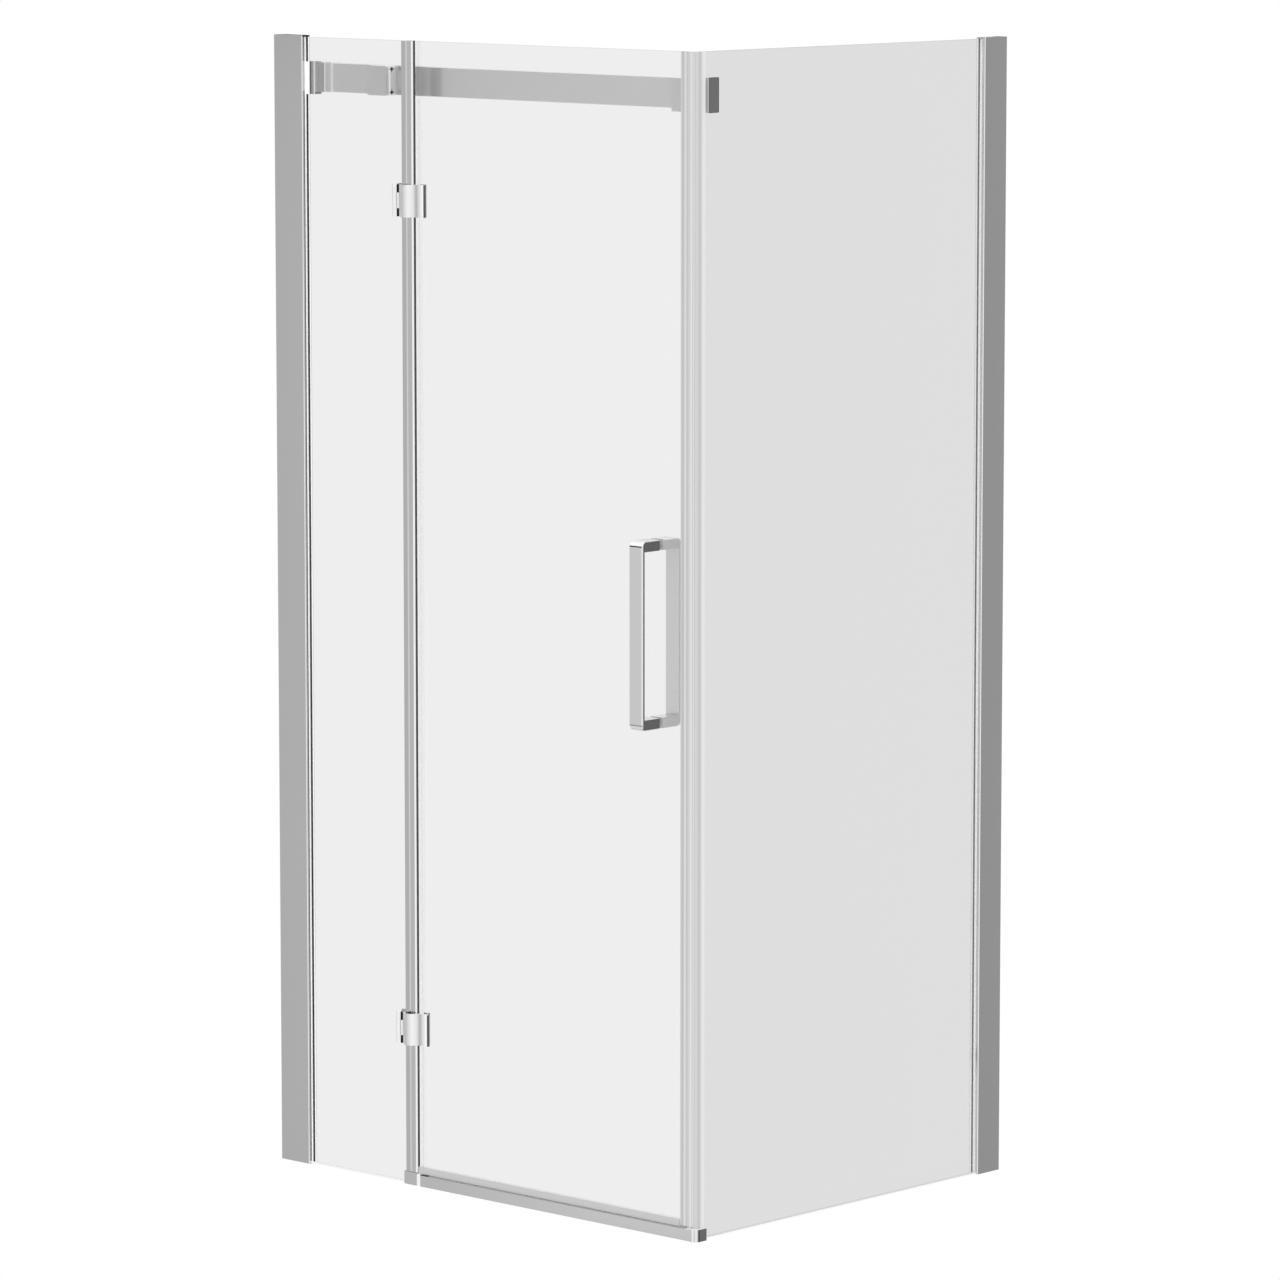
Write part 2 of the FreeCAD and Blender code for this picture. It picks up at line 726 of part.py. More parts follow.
def door_leaf(middle):
    low = middle - hinge_height / 2
    high = middle + hinge_height / 2
    left, right, valley_middle, turn = cover_arcs(0)
    valley = ring_arc(valley_middle, cover_valley_radius, turn + math.pi, math.pi / 2)
    start = V(pin_x + cover_start, seat_face, 0)
    edge = V(start.x, seat_face - cover_edge_rise, 0)
    face = closed_face(edge, [left, right, valley],
                       [V(wing_right, wing_face, 0), V(wing_right, -leaf_pad, 0),
                        V(wing_left, -leaf_pad, 0), V(wing_left, seat_face, 0), start])
    face.translate(V(0, 0, low))
    leaf = face.extrude(V(0, 0, high - low))
    tip = [e for e in edges_along(leaf, V(0, 0, 1))
           if e.BoundBox.XMin > wing_right - leaf_corner and e.BoundBox.YMax < -leaf_pad]
    leaf = leaf.makeFillet(leaf_corner, tip)
    cups = []
    for bush_low, bush_high in bush_spans(middle):
        cup = rod(V(pin_x, pin_y, bush_low), V(pin_x, pin_y, bush_high), cup_radius)
        cup = cup.common(block(front, pin_x, pin_x + cup_radius, pin_y - cup_front,
                               pin_y + cup_radius, bush_low, bush_high))
        root = block(front, pin_x + cup_root_start, pin_x + cover_start + cover_skin,
                     seat_face - cover_edge_rise, seat_face, bush_low, bush_high)
        cups.append(cup.fuse(root))
    leaf = leaf.fuse(cups)
    leaf = leaf.cut(cover_room(low - overrun, high + overrun))
    leaf = leaf.cut(rod(V(pin_x, pin_y, low - overrun), V(pin_x, pin_y, high + overrun), bush_radius))
    return screw_sockets(leaf, door_screw_x, middle).removeSplitter()


def bush_spans(middle):
    inner = barrel_height / 2 + bush_gap
    outer = hinge_height / 2 - bush_end
    return [(middle - outer, middle - inner), (middle + inner, middle + outer)]


def bushes(middle):
    pieces = []
    for low, high in bush_spans(middle):
        bush = rod(V(pin_x, pin_y, low), V(pin_x, pin_y, high), bush_radius)
        hole = rod(V(pin_x, pin_y, low - overrun), V(pin_x, pin_y, high + overrun),
                   pin_radius + pin_running)
        pieces.append(bush.cut(hole))
    return pieces


def cover_liner(middle):
    low = middle - hinge_height / 2 + liner_recess
    high = middle + hinge_height / 2 - liner_recess
    return cover_room(low, high)


def clamp_plates(left, leaf_width, plate_width, middle):
    # Plate inside the pane, with countersunk holes, and the two pads that spare the glass
    low = middle - hinge_height / 2
    high = middle + hinge_height / 2
    near = inner_face + leaf_pad
    plate = block(front, left, left + plate_width, near, near + clamp_plate, low, high)
    plate = plate.makeFillet(leaf_corner, [e for e in plate.Edges if e.BoundBox.YMin > near])
    pads = [block(front, left, left + leaf_width, -leaf_pad, 0, low, high),
            block(front, left, left + plate_width, inner_face, near, low, high)]
    screws = []
    a = left + plate_width / 2
    length = clamp_plate + leaf_pad * 2 + glass_thickness + hinge_screw_depth
    for z in hinge_screw_heights(middle):
        start = V(a, near + clamp_plate, z)
        plate = plate.cut(screw_seat(start, V(0, -1, 0), hinge_screw_head_radius,
                                     hinge_screw_radius, hinge_screw_head_height, length))
        pads = [pad.cut(rod(start, V(a, -leaf_pad - overrun, z), hinge_screw_radius + screw_slack))
                for pad in pads]
        screws.append(socket_head(start, V(0, -1, 0), hinge_screw_head_radius, hinge_screw_radius,
                                  hinge_screw_head_height, length))
    return plate, pads, screws


def build_hinges():
    fixed_screws = []
    fixed_pads = []
    door_screws = []
    door_pads = []
    all_bushes = []
    for name, middle in (("lower", lower_hinge_z), ("upper", upper_hinge_z)):
        save(name + "_hinge_fixed_leaf", [fixed_leaf(middle)])
        plate, pads, screws = clamp_plates(fixed_leaf_left, fixed_leaf_width, fixed_leaf_width, middle)
        save(name + "_hinge_fixed_plate", [plate])
        fixed_pads += pads
        fixed_screws += screws
        reach = hinge_height / 2 - bush_end
        pin = rod(V(pin_x, pin_y, middle - reach), V(pin_x, pin_y, middle + reach), pin_radius)
        save(name + "_hinge_pin", [pin])
        save(name + "_hinge_door_leaf", [door_leaf(middle)])
        save(name + "_hinge_cover_liner", [cover_liner(middle)])
        plate, pads, screws = clamp_plates(wing_left, wing_right - wing_left, door_plate_width, middle)
        save(name + "_hinge_door_plate", [plate])
        door_pads += pads
        door_screws += screws
        all_bushes += bushes(middle)
    save("hinge_fixed_screws", fixed_screws)
    save("hinge_fixed_pads", fixed_pads)
    save("hinge_door_screws", door_screws)
    save("hinge_door_pads", door_pads)
    save("hinge_bushes", all_bushes)


# Handle: a flat loop on each side of the door, joined by two studs through the glass
def handle_arm_heights():
    return [handle_z - handle_spacing / 2, handle_z + handle_spacing / 2]


def handle_loop(glass_face, outward):
    half = (handle_spacing + handle_arm) / 2
    grip = glass_face + outward * handle_reach
    foot = glass_face + outward * handle_pad
    left = handle_x - handle_width / 2
    inner = grip - outward * handle_bar
    outer_points = [(foot, -half), (grip, -half), (grip, half), (foot, half),
                    (foot, half - handle_arm), (inner, half - handle_arm),
                    (inner, handle_arm - half), (foot, handle_arm - half)]
    points = [V(left, y, handle_z + z) for y, z in outer_points]
    loop = Part.Face(Part.makePolygon(points + points[:1])).extrude(V(handle_width, 0, 0))
    rounded = []
    for edge in edges_along(loop, V(1, 0, 0)):
        point = edge.Vertexes[0].Point
        if abs(point.y - grip) < same_place and abs(abs(point.z - handle_z) - half) < same_place:
            rounded.append(edge)
    loop = loop.makeFillet(handle_corner, rounded)
    loop = loop.makeChamfer(handle_bevel, grip_edges(loop, grip))
    for z in handle_arm_heights():
        start = V(handle_x, foot, z)
        loop = loop.cut(rod(start, start + V(0, outward * handle_stud_depth, 0),
                            handle_stud_radius + screw_slack))
    return loop


def grip_edges(loop, grip):
    # The long edges and bends around the outline of the two broad sides
    found = []
    for edge in loop.Edges:
        box = edge.BoundBox
        on_side = box.XLength < same_place
        on_outline = abs(box.YMin - grip) < handle_corner + arris and box.YLength < handle_corner + arris
        on_front = abs(box.YMax - grip) < arris or abs(box.YMin - grip) < arris
        if on_side and on_outline and on_front:
            found.append(edge)
    return found


def build_handle():
    save("handle_outer", [handle_loop(0, -1)])
    save("handle_inner", [handle_loop(inner_face, 1)])
    pads = []
    studs = []
    half_width = handle_width / 2 - handle_pad_inset
    half_arm = handle_arm / 2 - handle_pad_inset
    reach = handle_pad + handle_stud_depth
    for z in handle_arm_heights():
        for near in (-handle_pad, inner_face):
            pad = block(front, handle_x - half_width, handle_x + half_width, near,
                        near + handle_pad, z - half_arm, z + half_arm)
            pads.append(pad.cut(rod(V(handle_x, near - overrun, z),
                                    V(handle_x, near + handle_pad + overrun, z),
                                    handle_stud_radius + screw_slack)))
        studs.append(rod(V(handle_x, -reach + screw_slack, z),
                         V(handle_x, inner_face + reach - screw_slack, z), handle_stud_radius))
    save("handle_pads", pads)
    save("handle_studs", studs)


# Stabiliser bar with its wall bracket, glass clamp and corner bracket
def set_screw(a):
    middle_z = bar_bottom + bar_height / 2
    return rod(V(a, bar_back, middle_z), V(a, bracket_back, middle_z), set_screw_radius)


def set_screw_hole(a):
    middle_z = bar_bottom + bar_height / 2
    return rod(V(a, bar_back - overrun, middle_z), V(a, bracket_back + overrun, middle_z),
               set_screw_radius + set_screw_slack)


def bar_socket(a_low, a_high):
    # Open at the top, so that the bar drops in
    return block(front, a_low, a_high, bar_front - bar_slack, bar_back + bar_slack,
                 bar_bottom, bar_top + overrun)


def wall_bracket():
    # A base that stands above and below the bar, a body, and a collar that ends in a bevel
    collar_front = bar_front - wall_collar_skin
    body_front = wall_bracket_front + wall_body_setback
    outline = [(0, body_front), (wall_body_length, body_front), (wall_body_length, collar_front),
               (wall_collar_length - wall_collar_skin, collar_front), (wall_collar_length, bar_front),
               (wall_collar_length, bracket_back), (0, bracket_back)]
    body = prism(front, outline, bar_bottom, bar_top)
    inner_corner = [edge for edge in edges_along(body, V(0, 0, 1))
                    if abs(edge.BoundBox.XMin - wall_body_length) < same_place
                    and abs(edge.BoundBox.YMin - collar_front) < same_place]
    body = body.makeFillet(wall_collar_fillet, inner_corner)
    outline = [(0, wall_bracket_front), (wall_base_length - wall_base_bevel, wall_bracket_front),
               (wall_base_length, wall_bracket_front + wall_base_bevel),
               (wall_base_length, bar_front), (0, bar_front)]
    base = prism(front, outline, bar_bottom - wall_base_drop, bar_top + wall_base_rise)
    ledge = block(front, 0, wall_floor_length, bar_front, bracket_back,
                  bar_bottom - wall_base_drop, bar_bottom)
    bracket = body.fuse([base, ledge]).removeSplitter()
    return bracket.cut(bar_socket(bar_start, wall_collar_length + overrun))


def build_bar():
    bar = block(front, bar_start, bar_end, bar_front, bar_back, bar_bottom, bar_top)
    bar = bar.makeChamfer(bar_bevel, edges_along(bar, V(1, 0, 0)))
    clamp_x = clamp_left + clamp_width / 2
    middle_z = bar_bottom + bar_height / 2
    screws = []
    clamp_screw_heights = [middle_z - clamp_screw_spacing / 2, middle_z + clamp_screw_spacing / 2]
    for z in clamp_screw_heights:
        start = V(clamp_x, bar_back, z)
        bar = bar.cut(screw_seat(start, V(0, -1, 0), clamp_screw_head_radius, clamp_screw_radius,
                                 clamp_screw_head_height, clamp_screw_length))
        screws.append(socket_head(start, V(0, -1, 0), clamp_screw_head_radius, clamp_screw_radius,
                                  clamp_screw_head_height, clamp_screw_length))
    save("stabiliser_bar", [bar])
    save("bar_clamp_screws", screws)

    wall_screw_a = wall_collar_length - set_screw_inset
    save("bar_wall_bracket", [wall_bracket().cut(set_screw_hole(wall_screw_a))])

    pad_face = inner_face + clamp_pad_thickness
    clamp = block(front, clamp_left, clamp_left + clamp_width, pad_face, bar_front,
                  bar_bottom - clamp_drop, bar_top - clamp_drop)
    clamp = clamp.makeFillet(clamp_corner, edges_along(clamp, V(0, 1, 0)))
    for z in clamp_screw_heights:
        clamp = clamp.cut(rod(V(clamp_x, bar_front + overrun, z),
                              V(clamp_x, bar_back - clamp_screw_length - screw_slack, z),
                              clamp_screw_radius + screw_slack))
    save("bar_glass_clamp", [clamp])
    pad = block(front, clamp_left, clamp_left + clamp_width, inner_face, pad_face,
                bar_bottom - clamp_drop, bar_top - clamp_drop)
    save("bar_clamp_pad", [pad.makeFillet(clamp_corner, edges_along(pad, V(0, 1, 0)))])

    holder_end = side_inner_face - corner_pad
    holder = block(front, corner_bracket_start, holder_end, corner_bracket_front, bracket_back,
                   bar_bottom - corner_bracket_drop, bar_top)
    holder = holder.makeFillet(bracket_bevel, edges_along(holder, V(1, 0, 0)))
    holder = holder.cut(bar_socket(corner_bracket_start - overrun, bar_end + bar_slack))
    holder_screw_a = corner_bracket_start + set_screw_inset
    holder = holder.cut(set_screw_hole(holder_screw_a))
    stud_y = (corner_bracket_front + bracket_back) / 2
    stud_start = V(holder_end - corner_stud_in_bracket, stud_y, middle_z)
    plate_near = corner_x + corner_pad
    stud_end = V(plate_near + corner_stud_in_plate, stud_y, middle_z)
    stud = rod(stud_start, stud_end, corner_stud_radius)
    stud_hole = rod(stud_start - V(screw_slack, 0, 0), stud_end + V(screw_slack, 0, 0),
                    corner_stud_radius + screw_slack)
    save("bar_corner_bracket", [holder.cut(stud_hole)])
    save("bar_corner_stud", [stud])
    plate_low = bar_bottom - corner_bracket_drop
    plate_high = plate_low + corner_plate_height
    plate = block(front, plate_near, plate_near + corner_plate_thickness, corner_bracket_front,
                  bracket_back, plate_low, plate_high)
    plate = plate.makeFillet(corner_plate_corner, edges_along(plate, V(1, 0, 0)))
    save("bar_corner_plate", [plate.cut(stud_hole)])
    pads = []
    for near in (holder_end, corner_x):
        pad = block(front, near, near + corner_pad, corner_bracket_front, bracket_back,
                    plate_low, bar_top)
        pads.append(pad.cut(stud_hole))
    save("bar_corner_pads", pads)
    save("bar_set_screws", [set_screw(wall_screw_a), set_screw(holder_screw_a)])


def build_sill():
    save("hinge_post", [hinge_post()])
    save("post_gasket", [post_gasket()])
    save("sill_profile", [sill_profile()])
    save("sill_left_block", [sill_left_block()])
    save("sill_right_cap", [sill_right_cap()])


def build_seals():
    door_low = sill_cap_height + door_seal_lift
    save("door_magnetic_seal", [magnetic_seal(front_corner, door_edge, door_low)])
    save("door_magnet_strip", [magnet_strip(front_corner, door_low)])
    save("corner_magnetic_seal", [magnetic_seal(side_corner, side_edge, sill_cap_height)])
    save("corner_magnet_strip", [magnet_strip(side_corner, sill_cap_height)])
    save("door_bottom_seal", [door_bottom_seal()])
    save("door_hinge_seals", door_hinge_seals())


os.makedirs("parts", exist_ok=True)
build_wall_side("front", front, front_channel_width)
build_wall_side("side", side, side_channel_width)
build_fixed_glass()
build_sill()
build_door_glass()
build_seals()
build_hinges()
build_handle()
build_bar()
print(len(saved_names), "nodes")
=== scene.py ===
import json
import math

import bpy
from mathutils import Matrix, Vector

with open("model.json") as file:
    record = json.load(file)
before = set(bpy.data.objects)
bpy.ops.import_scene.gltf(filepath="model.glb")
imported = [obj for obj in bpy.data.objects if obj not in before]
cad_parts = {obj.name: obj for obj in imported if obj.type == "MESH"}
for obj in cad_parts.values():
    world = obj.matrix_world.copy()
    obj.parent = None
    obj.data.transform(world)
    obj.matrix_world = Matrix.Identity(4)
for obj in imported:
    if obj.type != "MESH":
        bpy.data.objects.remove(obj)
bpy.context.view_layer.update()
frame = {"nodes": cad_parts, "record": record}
print("frame loaded:", len(frame["nodes"]), "nodes")

slotOfNode = {row["node"]: row["material_slot"] for row in frame["record"]["subparts"]}
mm = 0.001
originX, originY = 0.5007, 0.3738      # the design's corner to the part's origin
squareOn = 0.9      # from here on a face counts as facing along an axis; 1 is dead square


class Wire:
    # a socket that takes part in plain sums, each one a Math node
    def __init__(self, graph, socket):
        self.graph = graph
        self.socket = socket

    def __add__(self, other):
        return self.graph.math("ADD", self, other)

    def __radd__(self, other):
        return self.graph.math("ADD", other, self)

    def __sub__(self, other):
        return self.graph.math("SUBTRACT", self, other)

    def __rsub__(self, other):
        return self.graph.math("SUBTRACT", other, self)

    def __mul__(self, other):
        return self.graph.math("MULTIPLY", self, other)

    def __rmul__(self, other):
        return self.graph.math("MULTIPLY", other, self)

    def __truediv__(self, other):
        return self.graph.math("DIVIDE", self, other)

    def __rtruediv__(self, other):
        return self.graph.math("DIVIDE", other, self)

    def above(self, limit):
        return self.graph.math("GREATER_THAN", self, limit)

    def below(self, limit):
        return self.graph.math("LESS_THAN", self, limit)

    def size(self):
        return self.graph.math("ABSOLUTE", self)

    def root(self):
        return self.graph.math("SQRT", self)

    def held(self):
        # kept between 0 and 1
        return self.graph.math("ADD", self, 0.0, clamp=True)

    def also(self, output):
        return Wire(self.graph, self.socket.node.outputs[output])


class Graph:
    # one node tree, with one method for every node that isn't a sum
    def __init__(self, tree):
        self.tree = tree
        tree.nodes.clear()

    def math(self, operation, first, second=None, clamp=False):
        settings = {"operation": operation, "use_clamp": clamp}
        values = {0: first} if second is None else {0: first, 1: second}
        return self.node("Math", settings, values)

    def node(self, kind, settings=None, inputs=None, output=0):
        made = self.tree.nodes.new("ShaderNode" + kind)
        for name, value in (settings or {}).items():
            if name == "stops":
                self.setStops(made.color_ramp, value)
            elif name == "step":
                made.color_ramp.interpolation = "CONSTANT"
            else:
                setattr(made, name, value)
        for name, value in (inputs or {}).items():
            if isinstance(value, Wire):
                self.tree.links.new(value.socket, made.inputs[name])
            else:
                made.inputs[name].default_value = value
        return Wire(self, made.outputs[output]) if made.outputs else None

    def setStops(self, ramp, stops):
        while len(ramp.elements) < len(stops):
            ramp.elements.new(0.5)
        for element, (position, grey) in zip(ramp.elements, stops):
            element.position = position
            element.color = greyColor(grey)


def greyColor(level):
    return (level, level, level, 1.0)


def greyOf(graph, level):
    # a plain value as a colour, for the colour sockets
    return graph.node("CombineColor", inputs={0: level, 1: level, 2: level})


def place(graph, axis):
    # where the shaded point lies along one axis of the part, in metres
    coords = graph.node("TexCoord", output=3)
    return graph.node("SeparateXYZ", inputs={0: coords}, output=axis)


def facing(graph, axis):
    # how squarely the surface faces along one axis, either way
    normal = graph.node("NewGeometry", output="Normal")
    return graph.node("SeparateXYZ", inputs={0: normal}, output=axis).size()


def greysAlong(graph, axis, stops, step=False):
    # greys along one axis; each stop is a place in millimetres from the design's corner and a grey
    first, last = stops[0][0], stops[-1][0]
    origin = originX if axis == "X" else originY
    spread = [((start - first) / (last - first), level) for start, level in stops]
    settings = {"stops": spread, "step": True} if step else {"stops": spread}
    run = (place(graph, axis) + origin - first * mm) / ((last - first) * mm)
    return graph.node("ValToRGB", settings, {"Fac": run})


def stretchedNoise(graph, scale, stretch, detail=3.0):
    coords = graph.node("TexCoord", output=3)
    mapping = graph.node("Mapping", inputs={"Vector": coords, "Scale": stretch})
    return graph.node("TexNoise", inputs={"Vector": mapping, "Scale": scale, "Detail": detail})


def swing(noise, spread):
    # noise between 0 and 1, as a change either way
    return (noise - 0.5) * spread


def wipingMarks(graph, stretch=(1.0, 1.0, 0.5)):
    # what wiping does to the roughness of polished metal
    look = dict(scale=18.0, spread=0.03)
    return swing(stretchedNoise(graph, look["scale"], stretch, detail=5.0), look["spread"])


def bumpOf(graph, height, strength, depth=0.3 * mm):
    return graph.node("Bump", inputs={"Height": height, "Strength": strength, "Distance": depth})


def newFinish(name):
    material = bpy.data.materials.new(name)
    material.use_nodes = True
    return material, Graph(material.node_tree)


def closeFinish(graph, values):
    if "Emission Color" in values:
        values["Emission Strength"] = 1.0
    surface = graph.node("BsdfPrincipled", inputs=values)
    graph.node("OutputMaterial", inputs={"Surface": surface})


def profileFinish():
    # bright anodised extrusion: fine draw lines along its length
    look = dict(base=0.90, rough=0.08, grainScale=900.0, grainSpread=0.04, cloudScale=6.0,
                cloudSpread=0.04, bump=0.01, bumpDepth=0.4 * mm)
    material, graph = newFinish("brightProfile")
    grain = stretchedNoise(graph, look["grainScale"], (1.0, 1.0, 0.004))
    cloud = stretchedNoise(graph, look["cloudScale"], (1.0, 1.0, 0.4))
    rough = look["rough"] + swing(grain, look["grainSpread"]) + swing(cloud, look["cloudSpread"])
    bump = bumpOf(graph, grain, look["bump"], look["bumpDepth"])
    closeFinish(graph, {"Base Color": greyColor(look["base"]), "Metallic": 1.0,
                        "Roughness": rough, "Normal": bump})
    return material


def chromeFinish():
    # polished plating
    look = dict(base=0.90, rough=0.04)
    material, graph = newFinish("polishedChrome")
    rough = look["rough"] + wipingMarks(graph)
    closeFinish(graph, {"Base Color": greyColor(look["base"]), "Metallic": 1.0,
                        "Roughness": rough.held()})
    return material


def postFinish(look):
    # polished post; its right side, in the gap beside the door's seal, is painted dark and matt as
    # painted shade
    material, graph = newFinish("postChrome")
    normal = graph.node("NewGeometry", output="Normal")
    gap = graph.node("SeparateXYZ", inputs={0: normal}).above(squareOn)
    front = greysAlong(graph, "X", look["along"], step=True)
    level = front + gap * (look["paintedGapShade"] - front)
    rough = look["rough"] + wipingMarks(graph) + gap * look["gapRough"]
    closeFinish(graph, {"Base Color": greyOf(graph, level), "Metallic": 1.0 - gap,
                        "Roughness": rough.held()})
    return material


def satinFinish(name, look):
    # plated and finely brushed, with a darker grey of its own for the end faces: painted shade
    material, graph = newFinish(name)
    grain = stretchedNoise(graph, look["scale"], look["stretch"])
    ends = facing(graph, "X").above(squareOn)
    front = look["base"]
    # greys along X, where given, paint light and shade on the fronts
    if look["along"]:
        front = greysAlong(graph, "X", look["along"], step=look["step"])
    level = front + ends * (look["endBase"] - front) + swing(grain, look["toneSpread"])
    rough = look["rough"] + swing(grain, look["roughSpread"])
    closeFinish(graph, {"Base Color": greyOf(graph, level.held()), "Metallic": look["metallic"],
                        "Roughness": rough, "Normal": bumpOf(graph, grain, look["bump"])})
    return material


def clampFinish(look):
    # pale satin clamp; its end face has painted light and shade across its depth, a painted highlight
    # that glows up it, and a small dark star near the top and the bottom, each where the roots of the
    # two distances from its middle add up to less than 1
    material, graph = newFinish("satinClamp")
    grain = stretchedNoise(graph, look["scale"], (1.0, 1.0, 1.0))
    end = facing(graph, "X").above(squareOn)
    deep, up = place(graph, "Y") + originY, place(graph, "Z")
    sideways = (deep - look["starDepth"]).size() / look["starHalfDepth"]
    stars = []
    for height in (look["lowerStar"], look["upperStar"]):
        upright = (up - height).size() / look["starHalfHeight"]
        stars.append((sideways.root() + upright.root()).below(1.0))
    star = (stars[0] + stars[1]) * end
    plain = look["base"] + end * (greysAlong(graph, "Y", look["endAlong"], step=True) - look["base"])
    level = plain - star * (plain - look["starBase"]) + swing(grain, look["toneSpread"])
    paintedHighlight = end * deep.above(look["highlightFrom"]) * deep.below(look["highlightTo"]) * (1.0 - star)
    closeFinish(graph, {"Base Color": greyOf(graph, level.held()), "Metallic": look["metallic"],
                        "Roughness": look["rough"],
                        "Emission Color": greyOf(graph, paintedHighlight * look["highlightGlow"])})
    return material


def rimmedFinish(look):
    # polished plate whose rounded rim is painted darker: painted shade
    material, graph = newFinish("cornerPlate")
    rimY = (place(graph, "Y") - look["middleY"]).size().above(look["halfY"] - look["rim"])
    rimZ = (place(graph, "Z") - look["middleZ"]).size().above(look["halfZ"] - look["rim"])
    level = look["base"] - (rimY + rimZ).held() * (look["base"] - look["paintedRimShade"])
    rough = look["rough"] + wipingMarks(graph, (1.0, 0.5, 1.0))
    closeFinish(graph, {"Base Color": greyOf(graph, level), "Metallic": 1.0,
                        "Roughness": rough.held()})
    return material


def paintedShadeTopFinish(name, look):
    # polished piece whose top edge lies in a gap and is painted dark and matt there: painted shade
    material, graph = newFinish(name)
    gap = place(graph, "Z").above(look["gapFrom"])
    shade = greysAlong(graph, "X", look["paintedShadeAlong"], step=True)
    level = look["base"] - gap * (look["base"] - shade)
    matt = gap * (1.0 - shade)
    rough = look["rough"] + wipingMarks(graph) + matt * look["gapRough"]
    closeFinish(graph, {"Base Color": greyOf(graph, level), "Metallic": 1.0 - matt,
                        "Roughness": rough.held()})
    return material


def hingeFinish(look):
    # brushed broad faces that spread the light, with a painted sheen along X on their fronts and a
    # plain grey on their tops, a polished knuckle and polished narrow ends
    material, graph = newFinish("brushedHinge")
    grain = stretchedNoise(graph, look["grainScale"], (1.0, 1.0, 0.01))
    normal = graph.node("NewGeometry", output="Normal")
    sideways = graph.node("SeparateXYZ", inputs={0: normal})
    knuckle = (place(graph, "X") - look["pinX"]).size().below(look["knuckle"])
    polished = (knuckle + sideways.above(look["endFacing"])).held()
    outside = (place(graph, "Y") + originY).below(look["outsideTo"])
    plain = look["broadBase"]
    sheen = plain + outside * (greysAlong(graph, "X", look["sheen"]) - plain)
    topFace = sideways.also("Z").size().above(squareOn)
    broad = sheen + topFace * (look["topBase"] - sheen) + swing(grain, look["toneSpread"])
    shade = broad + polished * (look["endBase"] - broad)
    rough = look["broadRough"] + polished * (look["endRough"] - look["broadRough"])
    closeFinish(graph, {"Base Color": greyOf(graph, shade.held()), "Metallic": polished,
                        "Roughness": rough, "Normal": bumpOf(graph, grain, look["bump"])})
    return material


def glassFinish(name, look):
    # clear pane: light passes both faces and loses a little at each
    material, graph = newFinish(name)
    edge = 1.0 - facing(graph, look["faceAxis"]).above(squareOn)
    haze = stretchedNoise(graph, look["hazeScale"], (1.0, 1.0, 0.6), detail=2.0)
    alpha = look["alpha"] + swing(haze, look["haze"]) + edge * look["edgeAlpha"]
    closeFinish(graph, {"Base Color": greyColor(look["base"]), "Roughness": 0.03,
                        "IOR": 1.5, "Alpha": alpha.held()})
    material.surface_render_method = "BLENDED"
    return material


def sealFinish(name, look):
    # clear soft PVC with drawn lines along its length; where it lies on the pane it takes the
    # pane's own clearness, so that both read as one surface
    material, graph = newFinish(name)
    lines = stretchedNoise(graph, look["lineScale"], (1.0, 1.0, 0.01))
    depth = place(graph, "Y") + originY
    onFront = depth.size().below(look["touching"])
    onBack = (depth - look["pane"]).size().below(look["touching"])
    body = look["alpha"] + depth.below(look["noseTo"]) * (look["nose"] - look["alpha"])
    alpha = body + (onFront + onBack).held() * (look["paneAlpha"] - body)
    level = look["base"] * (1.0 + swing(lines, look["lineSpread"]))
    bump = bumpOf(graph, lines, look["bump"], look["bumpDepth"])
    closeFinish(graph, {"Base Color": greyOf(graph, level), "Roughness": look["rough"],
                        "Alpha": alpha.held(), "Normal": bump})
    material.surface_render_method = "BLENDED"
    return material


def bandedFinish(name, look):
    # drawn PVC whose hollow chambers show as upright bands of set greys, partly their own tone and
    # partly painted light; the whole seal also carries a painted glow
    material, graph = newFinish(name)
    lines = stretchedNoise(graph, look["lineScale"], (1.0, 1.0, 0.004))
    bands = greysAlong(graph, look["axis"], look["bands"], step=True)
    level = bands * (1.0 + swing(lines, look["lineSpread"]))
    closeFinish(graph, {"Base Color": greyOf(graph, level * look["body"]),
                        "Emission Color": greyOf(graph, level * look["glow"]),
                        "Roughness": look["rough"], "Alpha": look["alpha"]})
    material.surface_render_method = "BLENDED"
    return material


def gasketFinish(name, look):
    # glazing rubber with a pale body that carries a painted glow, and a dark lip at the mouth that is
    # painted shade of the gap there, left pale where a bracket stands close behind it
    material, graph = newFinish(name)
    across, up = place(graph, look["axis"]), place(graph, "Z")
    backed = (up - look["backedAt"]).size().below(look["backedHalf"])
    lip = across.above(look["lipFrom"]) * across.below(look["lipTo"]) * (1.0 - backed)
    grain = stretchedNoise(graph, look["grainScale"], (1.0, 1.0, 0.02))
    level = look["body"] + lip * (look["lip"] - look["body"])
    level = level * (1.0 + swing(grain, look["grainSpread"]))
    glow = look["glow"] * (1.0 - lip)
    closeFinish(graph, {"Base Color": greyOf(graph, level), "Emission Color": greyOf(graph, glow),
                        "Roughness": look["rough"]})
    return material


def innerWingFinish(name, look):
    # glass channel: bright like the wall channel, its inner wing matt and made pale by a painted glow
    material, graph = newFinish(name)
    grain = stretchedNoise(graph, look["grainScale"], (1.0, 1.0, 0.004))
    across = place(graph, look["axis"])
    wing = across.above(look["limit"]) if look["beyond"] else across.below(look["limit"])
    rough = look["rough"] + swing(grain, look["roughSpread"])
    closeFinish(graph, {"Base Color": greyColor(look["base"]), "Roughness": rough,
                        "Metallic": 1.0 - wing * look["wingMatt"],
                        "Emission Color": greyOf(graph, wing * look["glow"])})
    return material


